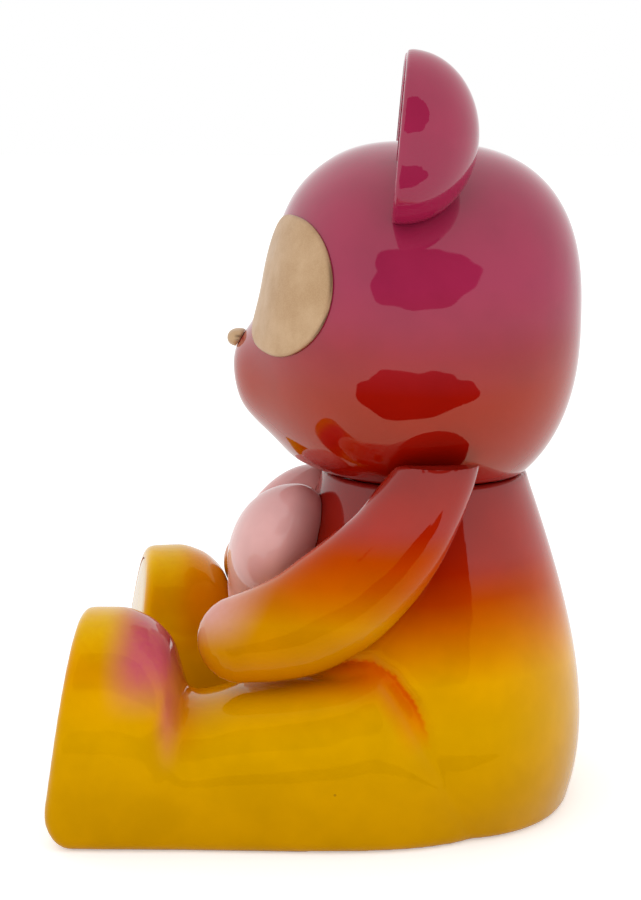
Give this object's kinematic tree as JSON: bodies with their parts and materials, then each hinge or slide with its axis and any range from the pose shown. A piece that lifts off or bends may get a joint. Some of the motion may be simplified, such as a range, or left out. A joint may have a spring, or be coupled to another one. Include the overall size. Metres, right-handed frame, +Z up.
{
  "type": "art toy figure",
  "caption": "Seated bear art toy with rounded head, half-dome ears and swinging arms that hug a heart.",
  "frame": {"origin": "on the ground, under the axis of the neck", "axes": "+Z up, the bear faces -Y, its left side is +X"},
  "size_m": [0.1872, 0.2099, 0.3005],
  "materials": {
    "torso_shell": "gloss sprayed orange, darker at the neck",
    "head_shell": "gloss sprayed magenta that fades to red at the jaw",
    "ear_shell": "gloss sprayed magenta",
    "arm_shell": "gloss sprayed red, orange and yellow",
    "leg_shell": "gloss sprayed golden yellow",
    "sole": "gloss cream yellow",
    "heart": "gloss pale pink",
    "ear_face": "gloss pale pink",
    "gold": "satin gold plating",
    "inner": "unpainted moulded plastic",
    "washer": "black moulded plastic",
    "screw": "zinc plated"
  },
  "bodies": {
    "body": {"torso_shell": "torso_shell", "base_cover": "inner", "base_screw_1": "screw", "base_screw_2": "screw", "base_screw_3": "screw", "base_screw_4": "screw", "left_leg_shell": "leg_shell", "right_leg_shell": "leg_shell", "left_sole_plate": "sole", "right_sole_plate": "sole", "left_hip_plug": "inner", "right_hip_plug": "inner", "heart_shell": "heart", "heart_peg": "inner", "neck_plug": "inner", "neck_washer": "washer"},
    "head": {"head_shell": "head_shell", "nose": "gold", "left_ear": "ear_shell", "right_ear": "ear_shell", "left_ear_face": "ear_face", "right_ear_face": "ear_face", "left_ear_peg": "inner", "right_ear_peg": "inner", "left_eye_patch": "gold", "right_eye_patch": "gold"},
    "left_arm": {"left_arm_shell": "arm_shell", "left_shoulder_plug": "inner"},
    "right_arm": {"right_arm_shell": "arm_shell", "right_shoulder_plug": "inner"}
  },
  "joints": [
    {"name": "neck_swivel", "type": "hinge", "parent": "body", "child": "head", "pos_m": [0, 0, 0.1325], "axis": [0, 0, 1], "continuous": true},
    {"name": "left_shoulder_swing", "type": "hinge", "parent": "body", "child": "left_arm", "pos_m": [0.047, -0.006, 0.118], "axis": [-1, 0, 0], "range_deg": [0, 40]},
    {"name": "right_shoulder_swing", "type": "hinge", "parent": "body", "child": "right_arm", "pos_m": [-0.047, -0.006, 0.118], "axis": [-1, 0, 0], "range_deg": [0, 40]}
  ]
}
